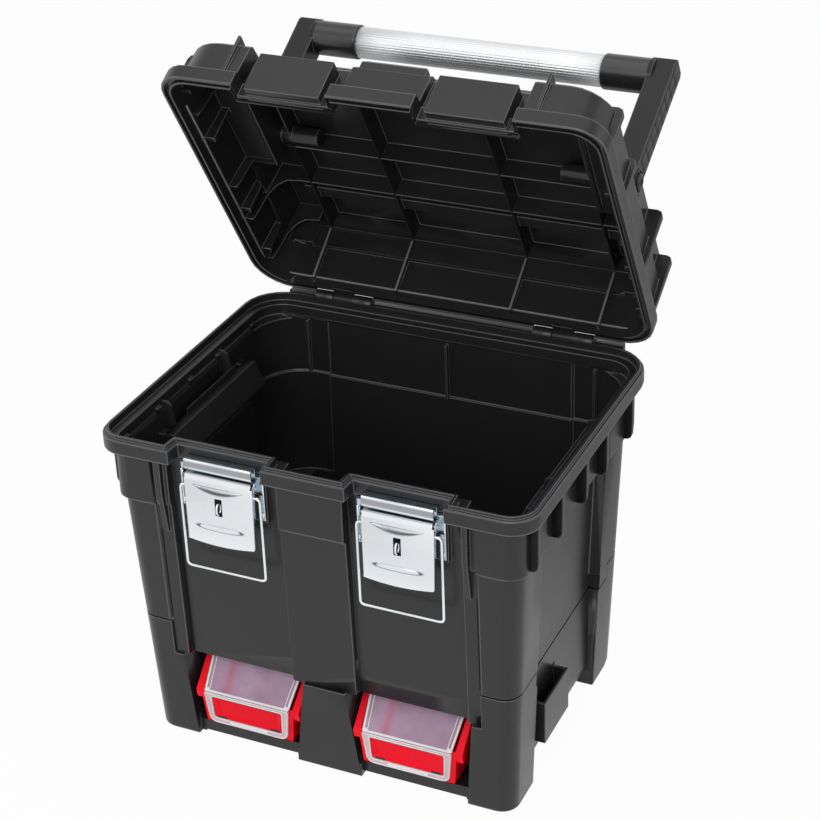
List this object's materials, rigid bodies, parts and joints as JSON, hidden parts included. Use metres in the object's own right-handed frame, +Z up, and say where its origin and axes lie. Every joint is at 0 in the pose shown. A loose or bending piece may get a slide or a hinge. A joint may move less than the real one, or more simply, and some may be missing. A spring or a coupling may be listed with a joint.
{
  "type": "tool box",
  "caption": "Black plastic tool box with an open ribbed lid, a folding bar handle, bail latches and red pull-out bins with clear flaps in the base.",
  "frame": {"origin": "centre of the bounding box's underside, on the floor, with the lid open and the handle up", "axes": "+X to the right along the front, +Y to the back, +Z up"},
  "size_m": [0.453, 0.46, 0.6815],
  "materials": {
    "black_plastic": "fine satin moulding",
    "red_plastic": "smooth moulded",
    "clear_plastic": "clear moulded plastic, slightly milky",
    "zinc_steel": "bright zinc plate",
    "ribbed_aluminium": "bright, finely ribbed lengthwise"
  },
  "bodies": {
    "box": {"tub": "black_plastic", "base_frame": "black_plastic", "inner_rail_left": "black_plastic", "inner_rail_right": "black_plastic", "hinge_pin_left": "zinc_steel", "hinge_pin_right": "zinc_steel", "latch_plate_left": "zinc_steel", "latch_pin_left": "zinc_steel", "latch_staple_left": "zinc_steel", "latch_rivet_left_inner": "zinc_steel", "latch_rivet_left_outer": "zinc_steel", "latch_plate_right": "zinc_steel", "latch_pin_right": "zinc_steel", "latch_staple_right": "zinc_steel", "latch_rivet_right_inner": "zinc_steel", "latch_rivet_right_outer": "zinc_steel"},
    "lid": {"lid": "black_plastic", "handle_bolt_left": "black_plastic", "handle_bolt_right": "black_plastic"},
    "handle": {"handle_arm_left": "black_plastic", "handle_arm_right": "black_plastic", "handle_tube": "ribbed_aluminium"},
    "latch_lever_left": {"latch_lever_left": "zinc_steel"},
    "latch_bail_left": {"latch_bail_left": "zinc_steel"},
    "bin_left": {"bin_left": "red_plastic"},
    "bin_flap_left": {"bin_flap_left": "clear_plastic"},
    "latch_lever_right": {"latch_lever_right": "zinc_steel"},
    "latch_bail_right": {"latch_bail_right": "zinc_steel"},
    "bin_right": {"bin_right": "red_plastic"},
    "bin_flap_right": {"bin_flap_right": "clear_plastic"}
  },
  "joints": [
    {"name": "lid_hinge", "type": "hinge", "parent": "box", "child": "lid", "pos_m": [0, 0.12303, 0.3506], "axis": [-1, 0, 0], "range_deg": [-59.1, 30]},
    {"name": "handle_pivot", "type": "hinge", "parent": "lid", "child": "handle", "pos_m": [0, 0.1011, 0.54282], "axis": [1, 0, 0], "range_deg": [0, 88]},
    {"name": "latch_lever_left_hinge", "type": "hinge", "parent": "box", "child": "latch_lever_left", "pos_m": [-0.093, -0.21767, 0.322], "axis": [-1, 0, 0], "range_deg": [0, 115]},
    {"name": "latch_bail_left_hinge", "type": "hinge", "parent": "latch_lever_left", "child": "latch_bail_left", "pos_m": [-0.093, -0.21867, 0.3115], "axis": [1, 0, 0], "range_deg": [-170, 0]},
    {"name": "bin_left_slide", "type": "slide", "parent": "box", "child": "bin_left", "axis": [0, -1, 0], "range_m": [0, 0.12]},
    {"name": "bin_flap_left_hinge", "type": "hinge", "parent": "bin_left", "child": "bin_flap_left", "pos_m": [-0.0885, -0.21127, 0.0269], "axis": [1, 0, 0], "range_deg": [0, 95]},
    {"name": "latch_lever_right_hinge", "type": "hinge", "parent": "box", "child": "latch_lever_right", "pos_m": [0.093, -0.21767, 0.322], "axis": [-1, 0, 0], "range_deg": [0, 115]},
    {"name": "latch_bail_right_hinge", "type": "hinge", "parent": "latch_lever_right", "child": "latch_bail_right", "pos_m": [0.093, -0.21867, 0.3115], "axis": [1, 0, 0], "range_deg": [-170, 0]},
    {"name": "bin_right_slide", "type": "slide", "parent": "box", "child": "bin_right", "axis": [0, -1, 0], "range_m": [0, 0.12]},
    {"name": "bin_flap_right_hinge", "type": "hinge", "parent": "bin_right", "child": "bin_flap_right", "pos_m": [0.0885, -0.21127, 0.0269], "axis": [1, 0, 0], "range_deg": [0, 95]}
  ]
}
